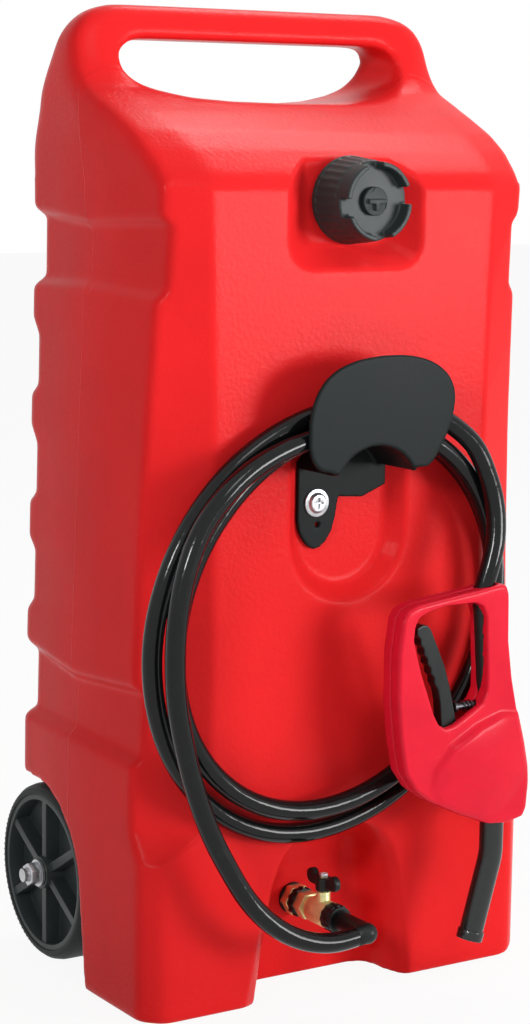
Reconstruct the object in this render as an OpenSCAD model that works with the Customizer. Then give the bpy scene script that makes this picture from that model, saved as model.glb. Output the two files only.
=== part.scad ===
// Fuel transfer tank on two wheels, with a filler cap, a drain valve, a coiled hose and a trigger nozzle.
// Millimetres, +Z up, the front looks along -Y. Inside the modules y = 0 is the tank's front face;
// place() moves every piece into the shared frame, whose origin is the bottom centre of the object.

/* [Tank] */
// width across the base
tank_w = 416; // [408:1:424]
// height from the floor to the top of the handle
tank_h = 891; // [875:1:905]
// wall of the moulded tank
wall = 4.5; // [3.5:0.5:5.5]
// depth of the two bands on the sides and the back
band = 8.5; // [6:0.5:10]
// depth of the skid grooves across the back
groove = 13; // [9:1:15]

/* [Filler cap] */
// outside diameter of the cap
cap_d = 78; // [74:1:82]
// outside diameter of the filler neck
neck_d = 58; // [54:1:60]

/* [Wheels] */
// outside diameter of a wheel with its tyre
wheel_d = 168; // [160:1:170]
// width of a tyre
wheel_w = 40; // [34:1:42]
// diameter of the axle
axle_d = 12.7; // [10:0.1:14]

/* [Hose and bracket] */
// outside diameter of the hose
hose_d = 18; // [15:0.5:18]
// thickness of the bracket's plate and saddle
bracket_t = 4; // [3:0.5:5]

/* [Drain valve] */
// bore of the ball valve
valve_bore = 10; // [8:0.5:10.5]
// across the flats of the bulkhead fitting
fitting_af = 26; // [24:1:28]

/* [Nozzle] */
// outside diameter of the spout
spout_d = 22; // [20:0.5:24]
// thickness of the trigger lever
trigger_t = 12; // [9:0.5:13]
// half depth of the nozzle's lower body
nozzle_half = 22; // [20:0.5:23]

/* [Hidden] */
$fn = 48;

// the tables below count from the front foot's upper edge, which is base_h above the floor
base_h = 9;
side = tank_w / 2;
kx = tank_w / 416;
kz = tank_h / 891;
function up(z) = (z + base_h) * kz - base_h;
// wheels and axle
wheel_r = wheel_d / 2;
wheel_y = 220;
axle_z = wheel_r - base_h;
wheel_in = side - 10 - wheel_w;
notch_x = wheel_in - 9;
notch_r = wheel_r + 7;
// nozzle mid plane and the shared frame's offset
noz_y = -62;
frame_y = -(wheel_y + wheel_r + noz_y - nozzle_half) / 2;
// filler cap
cap_z = up(712);
cap_r = cap_d / 2;
neck_r = neck_d / 2;
floor_y = 20;
// valve axis
hang_x = -4;
vx = hang_x - 15;
vz = 66;
ball_y = 8;
scoop_y = 60;
// bracket
arch_x = -3.5;
arch_z = 456.5;
arch_r = 49;
hang_z = up(arch_z) - arch_z;
pocket_y = 16;
screw_at = [-28, 445];
// hose
hose_r = hose_d / 2;
hose_top = arch_z + arch_r + 9.6;
sides = 8;
// trigger pivot and plunger axis
piv = [67, 240];
plunger_z = 262;

// outline tables of the tank: height and value
hw_at = [[0, 208], [200, 208], [620, 193], [700, 191], [730, 192], [752, 196], [800, 197], [838, 194], [852, 192],
  [862, 187], [870, 180], [877, 169], [882, 150]];
fx_at = [[0, 191], [136, 191], [164, 145], [310, 143], [545, 146], [728, 150], [760, 153], [800, 164], [838, 173],
  [852, 171], [870, 160], [882, 134]];
cy_at = [[0, 17], [136, 17], [164, 31], [370, 32], [510, 28], [629, 20], [698, 13], [728, 11], [800, 10], [882, 6]];
rf_at = [[0, 20], [136, 20], [164, 12], [728, 12], [800, 10], [860, 8], [882, 4]];
yf_at = [[0, 0], [722, 0], [732, 4], [740, 12], [755, 29], [771, 53], [786, 84], [800, 116], [809, 136], [822, 149],
  [838, 157], [852, 161], [868, 164], [876, 168], [880, 173], [882, 179]];
yr_at = [[0, 270], [230, 270], [400, 273], [500, 276], [620, 279], [700, 281], [735, 279], [751, 274], [779, 264],
  [801, 253], [822, 238], [842, 221], [858, 210], [868, 203], [876, 198], [880, 193], [882, 187]];
// levels of the outer form: height, side inset, rear inset, edge inset, lift at the side crease
levels = [[-9, 0, 0, 5, 0], [-7, 0, 0, 1.6, 0], [-2, 0, 0, 0, 0], [136, 0, 0, 0, 0], [150, 0, 0, 0, 0], [164, 0, 0, 0, 0],
  [218, 0, 0, 0, 3], [222, 0.2, 0.2, 0, 3], [229, 1, 1, 0, 3], [284, 1, 1, 0, -9], [291, 0.2, 0.2, 0, -9],
  [295, 0, 0, 0, -9], [322, 0, 0, 0, 0], [334, 0, 2, 0, 0], [380, 0, 2, 0, 0], [392, 0, 0, 0, 0], [424, 0, 0, 0, 0],
  [434, 0, 2, 0, 0], [480, 0, 2, 0, 0], [497, 0, 0, 0, 0], [525, 0, 0, 0, 0], [535, 0, 2, 0, 0], [581, 0, 2, 0, 0],
  [597, 0, 0, 0, 0], [624, 0, 0, 0, 4], [628, 0.2, 0.2, 0, 4], [635, 1, 1, 0, 4], [690, 1, 1, 0, -6],
  [697, 0.2, 0.2, 0, -6], [701, 0, 0, 0, -6], [722, 0, 0, 0, 0], [732, 0, 0, 0, 0], [740, 0, 0, 0, 0],
  [755, 0, 0, 0, 0], [771, 0, 0, 0, 0], [786, 0, 0, 0, 0], [800, 0, 0, 0, 0], [809, 0, 0, 0, 0], [822, 0, 0, 0, 0],
  [838, 0, 0, 0, 0], [852, 0, 0, 0, 0], [862, 0, 0, 0, 0], [870, 0, 0, 0, 0], [876, 0, 0, 0, 0], [880, 0, 0, 0, 0],
  [882, 0, 0, 0, 0]];
// levels of the hollow inside
inner_levels = [-1, 5, 130, 172, 300, 500, 690, 715, 727, 740, 755, 770, 784];

function unit(v) = v / norm(v);
function smooth(t) = let (k = min(1, max(0, t))) k * k * (3 - 2 * k);
// arc of n + 1 points that rounds the corner b of a, b, c
function fillet(a, b, c, r, n) =
  let (u = unit(a - b), v = unit(c - b), h = acos(u * v) / 2, m = b + unit(u + v) * r / sin(h),
    s = b + u * r / tan(h) - m, e = b + v * r / tan(h) - m, a0 = atan2(s[1], s[0]),
    d = (atan2(e[1], e[0]) - a0 + 540) % 360 - 180)
  [for (i = [0:n]) m + r * [cos(a0 + d * i / n), sin(a0 + d * i / n)]];
// a smooth line through points, n steps from each to the next
function flow(p, n) = let (m = len(p) - 1) concat([for (i = [0:m - 1]) for (k = [0:n - 1])
  let (t = k / n, a = p[max(0, i - 1)], b = p[i], c = p[i + 1], d = p[min(m, i + 2)])
  0.5 * (2 * b + (c - a) * t + (2 * a - 5 * b + 4 * c - d) * t * t + (3 * b - a - 3 * c + d) * t * t * t)], [p[m]]);
function mirrored(h) = concat(h, [for (i = [len(h) - 1:-1:0]) [-h[i][0], h[i][1]]]);

// half section of the tank: front, chamfer, side crease, rear corner
function half_section(hw, fx, cy, yf, yr, inset, r) =
  let (h = hw - inset, sy = yf + cy * (h - fx) / (hw - fx), rr = min(20, (yr - yf) * 0.26),
    b = [fx, yf], c = [h, sy], d = [h, max(150, sy + (yr - sy) * 0.3)], e = [h - min(12, (yr - yf) * 0.07), yr])
  concat(fillet([0, yf], b, c, r, 3), fillet(b, c, d, r * 0.7, 2), [d], fillet(d, e, [0, yr], rr, 4));

function outer_ring(l) =
  let (z = l[0], k = l[3], rear = l[2] > 1.5 ? groove : l[2] * band,
    s = mirrored(half_section(lookup(z, hw_at) * kx - k, lookup(z, fx_at) * kx - k * 0.6, lookup(z, cy_at),
      lookup(z, yf_at) + k, lookup(z, yr_at) - rear - k, l[1] * band, lookup(z, rf_at))))
  [for (p = s) [p[0], p[1], up(z) + l[4] * max(0, 1 - abs(p[1] - 150) / 60) * (abs(p[0]) > 150 ? 1 : 0)]];

function inner_ring(z) =
  let (q = z > 716 ? z + wall * 1.6 : z,
    s = mirrored(half_section(lookup(z, hw_at) * kx - band - wall, lookup(z, fx_at) * kx - wall, lookup(z, cy_at),
      lookup(q, yf_at) + wall, lookup(z, yr_at) - groove - wall - 1, 0, lookup(z, rf_at))))
  [for (p = s) [p[0], p[1], up(z)]];

// closed solid through a stack of rings of equal length
module skin(rings) {
  n = len(rings[0]);
  m = len(rings);
  pts = [for (r = rings) for (p = r) p];
  quads = [for (i = [0:m - 2]) for (j = [0:n - 1]) [i * n + j, (i + 1) * n + j, (i + 1) * n + (j + 1) % n,
    i * n + (j + 1) % n]];
  tris = [for (q = quads) for (t = [[q[0], q[1], q[2]], [q[0], q[2], q[3]]]) t];
  polyhedron(pts, concat(tris, [[for (j = [0:n - 1]) j]], [[for (j = [n - 1:-1:0]) (m - 1) * n + j]]));
}

module place() {
  translate([0, frame_y, base_h]) children();
}
// the bracket, the hose and the nozzle hang together a little left of the middle
module hang() {
  place() translate([hang_x, 0, hang_z]) children();
}
module ycyl(x, z, y0, y1, r) {
  translate([x, y0, z]) rotate([-90, 0, 0]) cylinder(h = y1 - y0, r = r);
}
module xcyl(y, z, x0, x1, r) {
  translate([x0, y, z]) rotate([0, 90, 0]) cylinder(h = x1 - x0, r = r);
}
module slab(pts, y0, y1) {
  translate([0, y1, 0]) rotate([90, 0, 0]) linear_extrude(y1 - y0) polygon(pts);
}
module slab_x(pts, x0, x1) {
  translate([x0, 0, 0]) rotate([90, 0, 90]) linear_extrude(x1 - x0) polygon(pts);
}

// rounded rectangle in X and Z at depth y, anticlockwise from the front
function window_ring(w, h, r, y) =
  let (q = [[w, h], [-w, h], [-w, -h], [w, -h]])
  [for (i = [0:3]) for (p = fillet(q[(i + 3) % 4], q[i], q[(i + 1) % 4], r, 3)) [p[0], y, cap_z + p[1]]];
module cap_pocket(g) {
  skin([for (y = [floor_y + g, -25]) window_ring(46 + g + (floor_y - y + g) * 1.25, 41 + g + (floor_y - y + g) * 0.95,
    16 + (floor_y - y) * 0.3 + g, y)]);
}

// pocket with a round lower end behind the hose bracket
function pocket_ring(y, g) =
  let (r = 48 + g + (pocket_y + g - y) * 0.95, t = 506 + g + (pocket_y + g - y))
  concat([for (a = [180:15:360]) [r * cos(a), y, 418 + r * sin(a)]],
    [[r, y, t - 18], [r - 18, y, t], [18 - r, y, t], [-r, y, t - 18]]);
module bracket_pocket(g) {
  translate([hang_x, 0, hang_z]) skin([pocket_ring(pocket_y + g, g), pocket_ring(-12, g)]);
}

// scoop in the front of the base, around the drain valve
scoop_at = [[-21, 73, 60], [-9, 73, 60], [0, 72, 60], [50, 66, 60], [98, 58, 60], [120, 51, 50], [134, 42, 33],
  [143, 34, 12], [150, 26, -5]];
// half of a scoop section, the flare k times as wide
function scoop_half(w, d, k) =
  let (deep = d > 8, y2 = deep ? d * 0.17 : d - 4, y3 = deep ? d * 0.42 : d - 2.5)
  concat([[w + 26 * k, -20], [w + 13 * k, min(-1, y2 - 2)], [w + 4.5 * k, y2], [w, y3]],
    fillet([w, y3], [w - 4, d], [0, d], deep ? d * 0.24 : 1, 3));
function scoop_ring(l, g) =
  let (w = l[1] + g, d = l[2] + g, z = l[0] > 0 ? l[0] + g : l[0], right = scoop_half(w - 4, d, 1),
    left = scoop_half(w + 5, d, 1 + 1.1 * max(0, 1 - max(0, l[0]) / 134)), n = len(left))
  [for (p = concat(right, [for (i = [n - 1:-1:0]) [-left[i][0], left[i][1]]])) [p[0] - 4, p[1], z]];
module scoop(g) {
  skin([for (l = scoop_at) scoop_ring(l, g)]);
}

// notch for one wheel, open to the side, the floor and the back
module notch(g) {
  pts = concat([[wheel_y - notch_r - 14 - g, -base_h - 20], [wheel_y - notch_r - g, axle_z]],
    [for (a = [170:-10:90]) [wheel_y + (notch_r + g) * cos(a), axle_z + (notch_r + g) * sin(a)]],
    [[340, axle_z + notch_r + g], [340, -base_h - 20]]);
  slab_x(pts, notch_x - g, side + 52);
}

// opening under the carrying handle
hand = [[0, 796], [60, 797], [100, 800], [126, 806], [140, 812], [148, 820], [151, 830], [149, 840], [143, 846],
  [133, 850], [118, 851]];
module hand_opening() {
  slab([for (p = mirrored(hand)) [p[0] * kx, up(p[1])]], 60, 330);
}

// moulded tank: a loft of rounded sections, hollow, with its pockets and bores
module tank() {
  color([0.82, 0.06, 0.07]) place() difference() {
    union() {
      difference() {
        skin([for (l = levels) outer_ring(l)]);
        cap_pocket(0);
        bracket_pocket(0);
        scoop(0);
        notch(0);
        mirror([1, 0, 0]) notch(0);
        hand_opening();
      }
      ycyl(0, cap_z, -8, floor_y + 2, neck_r);
    }
    difference() {
      skin([for (z = inner_levels) inner_ring(z)]);
      cap_pocket(wall);
      bracket_pocket(wall);
      scoop(wall);
      notch(wall);
      mirror([1, 0, 0]) notch(wall);
      xcyl(wheel_y, axle_z, -side - 42, side + 42, axle_d / 2 + 7);
      translate([hang_x, 0, hang_z]) ycyl(screw_at[0], screw_at[1], pocket_y, pocket_y + 16, 9);
    }
    ycyl(0, cap_z, -20, floor_y + wall + 14, neck_r - 6.5);
    ycyl(vx, vz, scoop_y - 6, scoop_y + wall + 12, 8.5);
    xcyl(wheel_y, axle_z, -side - 52, side + 52, axle_d / 2);
    translate([hang_x, 0, hang_z]) ycyl(screw_at[0], screw_at[1], pocket_y - 4, pocket_y + 12, 4);
  }
}

// filler cap: tapered shell with ribs and four grip walls
cap_top = 22;
module cap_shell() {
  color([0.06, 0.06, 0.065]) place() translate([0, 0, cap_z]) rotate([90, 0, 0]) {
    difference() {
      union() {
        translate([0, 0, -15]) cylinder(h = 4, r = cap_r);
        translate([0, 0, -17]) cylinder(h = cap_top + 17, r1 = cap_r - 0.6, r2 = cap_r - 4);
        for (a = [0:12:348]) rotate(a + 6) skin([for (q = [[-12, 0], [cap_top - 6, 2.6]])
          [for (p = [[-4, -1.7], [0, -1.4], [0, 1.4], [-4, 1.7]]) [cap_r - 0.3 - q[1] + p[0], p[1], q[0]]]]);
        for (a = [24:90:294]) rotate(a) rotate_extrude(angle = 62) translate([cap_r - 10, cap_top - 1])
          polygon([[0, 0], [6.2, 0], [5.2, 13], [1, 13]]);
      }
      translate([0, 0, -18]) cylinder(h = 30, r = cap_r - 5);
      cylinder(h = 50, r = 9);
    }
  }
}
// threaded ring inside the cap
module cap_insert() {
  color([0.12, 0.12, 0.13]) place() translate([0, 0, cap_z]) rotate([90, 0, 0]) difference() {
    translate([0, 0, -14]) cylinder(h = 26, r = cap_r - 5);
    translate([0, 0, -15]) cylinder(h = 30, r = neck_r + 0.6);
  }
}
module cap_gasket() {
  color([0.2, 0.2, 0.2]) place() translate([0, 0, cap_z]) rotate([90, 0, 0]) difference() {
    translate([0, 0, 8.4]) cylinder(h = 3.2, r = neck_r - 0.4);
    translate([0, 0, 8]) cylinder(h = 4, r = neck_r - 6);
  }
}
// centre hub with a raised tee bar, pressed into the cap
module cap_hub() {
  color([0.09, 0.09, 0.1]) place() translate([0, 0, cap_z]) rotate([90, 0, 0]) {
    translate([0, 0, 13]) cylinder(h = cap_top - 12, r = 9);
    translate([0, 0, cap_top]) cylinder(h = 5, r = 12.5);
    translate([-9, -2, cap_top + 4]) cube([18, 4, 4.5]);
    translate([-2, -8, cap_top + 4]) cube([4, 8, 4.5]);
  }
}

// hose bracket: crescent plate, arched saddle, rear flange with a tongue
crescent_at = [[-56, 481], [-65, 484], [-71, 491], [-74.5, 502], [-75, 516], [-73.5, 531], [-69, 545], [-60, 559],
  [-46, 569.5], [-28, 576], [-9, 579], [11, 580], [33, 578.5], [53, 573], [69, 563], [77.5, 550], [79, 536], [76, 520],
  [70, 506], [63, 494], [57, 485], [50, 480]];
crescent = flow(crescent_at, 3);
flange = [[-47.4, 482], [-47.4, 431], [-45.5, 421], [-41.5, 413], [-35.5, 406], [-29.5, 403], [-23, 404.5], [-16.5, 410],
  [-10.5, 419], [-7, 431], [-4, 449], [22, 447], [47, 457], [47, 478], [38, 494], [0, 503], [-36, 494]];
module hose_bracket() {
  arch_in = [for (a = [31:11:152]) [arch_x + (arch_r - bracket_t) * cos(a), arch_z + (arch_r - bracket_t) * sin(a)]];
  color([0.05, 0.05, 0.055]) hang() difference() {
    union() {
      slab(concat(arch_in, crescent), -45 - bracket_t, -45);
      difference() {
        ycyl(arch_x, arch_z, -46, 11.6, arch_r);
        ycyl(arch_x, arch_z, -60, 30, arch_r - bracket_t);
        translate([arch_x - 120, -70, arch_z - 100]) cube([240, 120, 120]);
      }
      slab(flange, 11, pocket_y);
    }
    ycyl(screw_at[0], screw_at[1], 0, 30, 2.6);
    ycyl(-26, 425, 0, 30, 2.6);
  }
}
// screw with a wide flat head
module bracket_screw() {
  color([0.75, 0.76, 0.77]) hang() difference() {
    union() {
      ycyl(screw_at[0], screw_at[1], 11, 24, 2.5);
      ycyl(screw_at[0], screw_at[1], 9.2, 11, 12.5);
      translate([screw_at[0], 9.4, screw_at[1]]) rotate([90, 0, 0]) cylinder(h = 3.4, r1 = 9.5, r2 = 7.5);
    }
    translate([screw_at[0] - 5, 5, screw_at[1] - 0.8]) cube([10, 3, 1.6]);
    translate([screw_at[0] - 0.8, 5, screw_at[1] - 5]) cube([1.6, 3, 10]);
  }
}
module bracket_insert() {
  color([0.72, 0.58, 0.28]) hang() difference() {
    ycyl(screw_at[0], screw_at[1], pocket_y + 0.2, pocket_y + 11, 4);
    ycyl(screw_at[0], screw_at[1], pocket_y - 1, pocket_y + 9, 2.5);
  }
}

// drain outlet
module outlet_seal() {
  color([0.1, 0.1, 0.1]) place() difference() {
    ycyl(vx, vz, scoop_y - 2.4, scoop_y, 14.5);
    ycyl(vx, vz, scoop_y - 5, scoop_y + 2, 8.5);
  }
}
module hex(af, h) {
  cylinder(h = h, r = af / sqrt(3), $fn = 6);
}
module outlet_fitting() {
  color([0.78, 0.62, 0.3]) place() difference() {
    union() {
      ycyl(vx, vz, scoop_y - 6, scoop_y + wall + 10, 8.5);
      translate([vx, scoop_y - 2.4, vz]) rotate([90, 0, 0]) hex(fitting_af, 10);
      ycyl(vx, vz, 31, scoop_y - 10, 7.6);
    }
    ycyl(vx, vz, 0, 100, valve_bore / 2);
  }
}
module lock_ring() {
  color([0.05, 0.05, 0.05]) place() difference() {
    union() {
      ycyl(vx, vz, 39.2, 47.4, 13);
      for (a = [0:30:330]) translate([vx, 40, vz]) rotate([0, a, 0]) translate([12, 0, -1.5]) cube([2.2, 6.6, 3]);
    }
    ycyl(vx, vz, 30, 60, 7.6);
  }
}
module valve_body() {
  color([0.8, 0.64, 0.32]) place() difference() {
    union() {
      translate([vx, 39, vz]) rotate([90, 0, 0]) hex(23, 11);
      ycyl(vx, vz, 18, 29, 9.6);
      ycyl(vx, vz, ball_y - 13, ball_y + 13, 12.4);
      ycyl(vx, vz, -12, 0, 9);
      translate([vx, ball_y, vz]) cylinder(h = 20, r = 6.5);
    }
    ycyl(vx, vz, 30, 60, 7.6);
    ycyl(vx, vz, -40, 60, valve_bore / 2);
    translate([vx, ball_y, vz]) sphere(r = 9.6);
    ycyl(vx, vz, ball_y - 9.4, ball_y + 9.4, 7.6);
    translate([vx, ball_y, vz]) cylinder(h = 40, r = 3.56);
  }
}
module valve_ball() {
  color([0.82, 0.82, 0.84]) place() difference() {
    translate([vx, ball_y, vz]) sphere(r = 9);
    ycyl(vx, vz, ball_y - 20, ball_y + 20, valve_bore / 2);
    translate([vx, ball_y, vz + 7]) cylinder(h = 10, r = 3.5);
  }
}
module valve_seats() {
  color([0.93, 0.93, 0.9]) place() for (k = [-1, 1]) difference() {
    ycyl(vx, vz, ball_y + (k > 0 ? 7.9 : -9.4), ball_y + (k > 0 ? 9.4 : -7.9), 7.6);
    ycyl(vx, vz, ball_y - 20, ball_y + 20, valve_bore / 2 + 0.2);
  }
}
module valve_stem() {
  color([0.76, 0.6, 0.3]) place() translate([vx, ball_y, vz + 7]) cylinder(h = 27, r = 3.5);
}
// butterfly handle, in line with the flow when open
module valve_handle() {
  color([0.05, 0.05, 0.05]) place() translate([vx, ball_y, vz]) difference() {
    union() {
      translate([0, 0, 21]) cylinder(h = 12, r = 7.5);
      for (k = [0, 180]) rotate(k) {
        translate([-3, 0, 24]) cube([6, 17, 10]);
        translate([-3, 17, 31]) rotate([0, 90, 0]) cylinder(h = 6, r = 7);
      }
    }
    cylinder(h = 60, r = 3.5);
    translate([0, 0, 33]) cylinder(h = 20, r = 4.6);
  }
}
module handle_screw() {
  color([0.7, 0.7, 0.72]) place() translate([vx, ball_y, vz + 34]) difference() {
    cylinder(h = 3, r = 4);
    translate([-3, -0.5, 2]) cube([6, 1, 2]);
  }
}
// black collar that holds the elbow on the valve
module union_nut() {
  color([0.05, 0.05, 0.055]) place() difference() {
    union() {
      ycyl(vx, vz, -20, -5.4, 12);
      for (a = [0:30:330]) translate([vx, -17, vz]) rotate([0, a, 0]) translate([11, 0, -1.6]) cube([2, 11, 3.2]);
    }
    ycyl(vx, vz, -12, 0, 9);
    ycyl(vx, vz, -30, 0, 7.4);
  }
}
elbow_y = -62;
module hose_elbow() {
  color([0.06, 0.06, 0.06]) place() difference() {
    union() {
      ycyl(vx, vz, elbow_y, -12.3, 7.4);
      ycyl(vx, vz, elbow_y, -20.2, 9);
      translate([vx, elbow_y, vz]) sphere(r = 9.6);
      translate([vx, elbow_y, vz]) rotate([0, -95, 0]) cylinder(h = 12, r = 9);
    }
    ycyl(vx, vz, elbow_y, 0, 4.5);
  }
}

// hose: hand-set points of the two free stretches, a formula for the coil
el = [-cos(5), -sin(5)];
tail_at = [[-15 + el[0] * 12.4, -62, vz + el[1] * 12.4], [-46, -62, 63.4], [-64, -61.5, 65.2], [-82, -60, 70.5],
  [-100, -57.5, 79.8], [-118, -54.5, 94], [-135, -51, 114], [-151, -47.5, 141], [-167, -44, 173], [-181, -42, 210],
  [-192, -41, 250], [-200, -40, 292], [-202, -40, 334], [-199, -40, 372], [-190, -39, 408], [-175, -38, 440],
  [-153, -38, 466], [-126, -37, 486], [-95, -36, 500], [-62, -35, 509], [-30, -34.5, hose_top - 2], [0, -34, hose_top]];
tail = [for (p = tail_at) [p[0], p[1], p[2] - hang_z * (1 - p[2] / hose_top)]];
lead = [[0, -23.5, hose_top + 19], [30, -24.5, hose_top + 17.5], [60, -28, 528], [86, -34, 514], [107, -41, 494.5],
  [118, -48, 467], [122, -55, 439], [119.5, -60, 412], [113.5, -62, 391], [108, -62, 374.5], [104.6, -62, 361.5]];
coil_y = [[0, -34], [0.75, -19], [1, -13], [1.5, -10], [1.75, -10], [1.88, -15], [2, -23.5]];
function coil_point(a) =
  let (u = a / 360, rz = 170 + 12 * smooth(u - 0.5), rx = 163 + 20 * smooth(u - 0.5))
  [rx * sin(a) - 23 * (1 - cos(a)), lookup(u, coil_y), hose_top + 19 * smooth((u - 1.5) / 0.4) - rz * (1 - cos(a))];
coil = [for (a = [0:15:720]) coil_point(a)];

function tangent(q, i, t0, t1) = i == 0 && t0 != undef ? t0 : i == len(q) - 1 && t1 != undef ? t1 :
  unit(q[min(i + 1, len(q) - 1)] - q[max(i - 1, 0)]);
function tube_rings(q, r, n, t0, t1) = [for (i = [0:len(q) - 1])
  let (t = tangent(q, i, t0, t1), a = unit(cross(t, [0, 1, 0])), b = cross(t, a))
  [for (k = [0:n - 1]) q[i] + r * (cos(360 * k / n) * a + sin(360 * k / n) * b)]];
// least distance of one route's points from another's, skipping near neighbours on the same route
function least(p, q, skip) = min([for (i = [0:len(p) - 1]) for (j = [0:len(q) - 1])
  if (skip == 0 || abs(i - j) > skip) norm(p[i] - q[j])]);
echo(coil_gap = least(coil, coil, 6) - hose_d, tail_gap = least([for (i = [0:18]) tail[i]], coil, 0) - hose_d,
  lead_gap = least([for (i = [2:9]) lead[i]], coil, 0) - hose_d);

module hose_tail() {
  color([0.04, 0.04, 0.045]) hang() skin(tube_rings(tail, hose_r, sides, [el[0], 0, el[1]], [1, 0, 0]));
}
module hose_coil() {
  color([0.04, 0.04, 0.045]) hang() skin(tube_rings(coil, hose_r, sides, [1, 0, 0], [1, 0, 0]));
}
module hose_lead() {
  color([0.04, 0.04, 0.045]) hang() skin(tube_rings(lead, hose_r, sides, [1, 0, 0], unit([-0.25, 0, -1])));
}

// nozzle outline and finger window, in X and Z
shell_out = [[9, 349], [14, 357], [24, 361], [38, 363], [91, 369], [116, 373], [123, 371], [126, 363], [127, 320],
  [132, 285], [139, 254], [147, 225], [152, 202], [153, 186], [151, 162], [147, 154], [128, 150], [108, 152], [75, 165],
  [43, 181], [27, 193], [15, 210], [9, 240], [5, 278], [5, 320]];
shell_win = [[22, 342], [26, 350], [35, 354], [55, 358], [88, 358], [96, 354], [100, 345], [101, 322], [103, 290],
  [103, 276], [98, 266], [80, 256], [67, 249], [58, 247], [50, 251], [44, 262], [29, 302], [21, 330]];
body_out = [[139, 254], [147, 225], [152, 202], [153, 186], [151, 162], [147, 154], [128, 150], [108, 152], [75, 165],
  [52, 177], [40, 192], [44, 212], [62, 232], [92, 248], [118, 256]];
// shrink a clockwise outline by d
function shrink(p, d) = let (n = len(p)) [for (i = [0:n - 1])
  let (u = unit(p[i] - p[(i + n - 1) % n]), v = unit(p[(i + 1) % n] - p[i]), a = [u[1], -u[0]], b = [v[1], -v[0]])
  p[i] + (a + b) * d / (1 + a * b)];
tube_top = [104, 357];
tube_low = [119, 185];
tube_lean = atan2(tube_low[0] - tube_top[0], tube_top[1] - tube_low[1]);
module feed_axis(r, len) {
  translate([tube_top[0], noz_y, tube_top[1]]) rotate([0, 180 - tube_lean, 0]) cylinder(h = len, r = r);
}
feed_len = norm(tube_low - tube_top);
nozzle_screw_at = [[14, 336], [118, 364], [26, 208], [143, 176]];

// one half of the nozzle shell, k = -1 in front and 1 behind
module shell_half(k) {
  difference() {
    union() {
      shell_slab(shell_out, k, 0, 11);
      shell_slab(shrink(shell_out, 1.2), k, 10, 13);
      shell_slab(shrink(shell_out, 3.2), k, 12, 14.5);
      shell_slab(shrink(body_out, 1), k, 10, nozzle_half - 5);
      shell_slab(shrink(body_out, 2.6), k, nozzle_half - 6, nozzle_half - 2);
      shell_slab(shrink(body_out, 5), k, nozzle_half - 3, nozzle_half);
    }
    shell_slab(shell_win, k, -5, 30);
    shell_slab(shrink(shell_win, -1.5), k, 12.5, 30);
    feed_axis(8, feed_len + 0.4);
    skin(tube_rings([[111.5, noz_y, 389], [103.6, noz_y, 357.4]], hose_r + 0.4, 24, unit([-0.25, 0, -1]),
      unit([-0.25, 0, -1])));
    translate([122, noz_y, 140]) cylinder(h = 46, r = spout_d / 2);
    translate([0, noz_y, 0]) ycyl(piv[0], piv[1], -trigger_t / 2 - 1, trigger_t / 2 + 1, 11);
    translate([0, noz_y, 0]) slab([[55, 241], [60, 276], [97, 276], [97, 253], [80, 242]], -trigger_t / 2 - 1,
      trigger_t / 2 + 1);
    ycyl(piv[0], piv[1], noz_y - 12, noz_y + 12, 2.5);
    xcyl(noz_y, plunger_z, 90, 112, 3.56);
    for (s = nozzle_screw_at) {
      ycyl(s[0], s[1], noz_y - 8, noz_y + 40, 1.8);
      ycyl(s[0], s[1], noz_y + 9, noz_y + 40, 4);
    }
  }
}
// slab from d0 to d1 off the mid plane on side k
module shell_slab(pts, k, d0, d1) {
  slab(pts, noz_y + (k > 0 ? d0 : -d1), noz_y + (k > 0 ? d1 : -d0));
}
module nozzle_front() {
  color([0.86, 0.09, 0.16]) hang() shell_half(-1);
}
module nozzle_rear() {
  color([0.84, 0.08, 0.15]) hang() shell_half(1);
}
module nozzle_screws() {
  color([0.7, 0.7, 0.72]) hang() for (s = nozzle_screw_at) {
    ycyl(s[0], s[1], noz_y - 7.8, noz_y + 9.2, 1.8);
    difference() {
      ycyl(s[0], s[1], noz_y + 9, noz_y + 11.4, 3.4);
      translate([s[0] - 2.6, noz_y + 10.4, s[1] - 0.5]) cube([5.2, 2, 1]);
    }
  }
}
// hose barb and feed tube in the grip
module feed_tube() {
  color([0.08, 0.08, 0.08]) hang() difference() {
    feed_axis(8, feed_len);
    translate([0, 0, 0.1]) feed_axis(5.4, feed_len + 10);
    xcyl(noz_y, plunger_z, 90, 112, 3.56);
  }
}
// trigger lever with finger ridges
module trigger() {
  lever = [[35, 342], [29, 339], [29, 333], [33, 329], [33, 324], [37, 320], [37, 315], [41, 311], [41, 306], [45, 302],
    [45, 297], [49, 293], [49, 288], [53, 282], [56, 270], [57, 258], [58, 240], [60, 234], [67, 231], [74, 234],
    [76, 240], [73, 256], [70, 268], [66, 284], [60, 302], [52, 320], [44, 337], [40, 341]];
  color([0.05, 0.05, 0.05]) hang() difference() {
    translate([0, noz_y, 0]) slab(lever, -trigger_t / 2, trigger_t / 2);
    ycyl(piv[0], piv[1], noz_y - 20, noz_y + 20, 2.56);
  }
}
module trigger_pin() {
  color([0.72, 0.72, 0.74]) hang() ycyl(piv[0], piv[1], noz_y - 11.8, noz_y + 11.8, 2.5);
}
module plunger() {
  color([0.3, 0.3, 0.32]) hang() {
    xcyl(noz_y, plunger_z, 76, 103, 3.5);
    xcyl(noz_y, plunger_z, 74.2, 77, 5.4);
  }
}
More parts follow.
